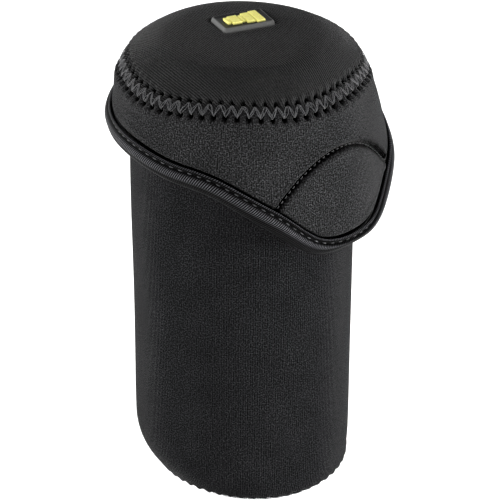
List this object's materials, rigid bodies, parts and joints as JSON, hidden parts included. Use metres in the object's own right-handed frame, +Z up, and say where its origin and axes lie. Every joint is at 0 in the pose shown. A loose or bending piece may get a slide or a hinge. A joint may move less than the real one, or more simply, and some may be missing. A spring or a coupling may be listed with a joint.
{
  "type": "lens pouch",
  "caption": "Soft round padded pouch for a long camera lens, with a deep dipped lid that pulls over the mouth by a tab and folds back on a rear tape hinge.",
  "frame": {"origin": "centre of the flat bottom, on the surface that the pouch stands on", "axes": "+Z up along the pouch, -Y towards the pull tab, +Y towards the hinge"},
  "size_m": [0.1312, 0.133, 0.2307],
  "materials": {
    "neoprene": "foam sheet faced with fine black knit, matt with a soft sheen",
    "binding_tape": "ribbed woven tape, satin",
    "thread": "twisted polyester thread",
    "badge_rubber": "soft moulded, satin",
    "badge_yellow": "soft moulded, satin"
  },
  "bodies": {
    "body": {"base_disc": "neoprene", "body_panel": "neoprene", "base_seam_thread": "thread", "back_seam_thread": "thread", "mouth_binding": "binding_tape", "mouth_binding_stitch": "thread", "hinge_tape_lower": "binding_tape", "hinge_stitch_lower": "thread"},
    "lid": {"lid_top_disc": "neoprene", "lid_skirt": "neoprene", "lid_seam_thread": "thread", "rim_binding": "binding_tape", "rim_binding_stitch": "thread", "tab_patch": "binding_tape", "tab_patch_stitch": "thread", "hinge_tape_upper": "binding_tape", "hinge_stitch_upper": "thread", "badge_base": "badge_rubber", "badge_motif": "badge_yellow"}
  },
  "joints": [
    {"name": "lid_hinge", "type": "hinge", "parent": "body", "child": "lid", "pos_m": [0, 0.0605, 0.189], "axis": [-1, 0, 0], "range_deg": [0, 180]}
  ]
}
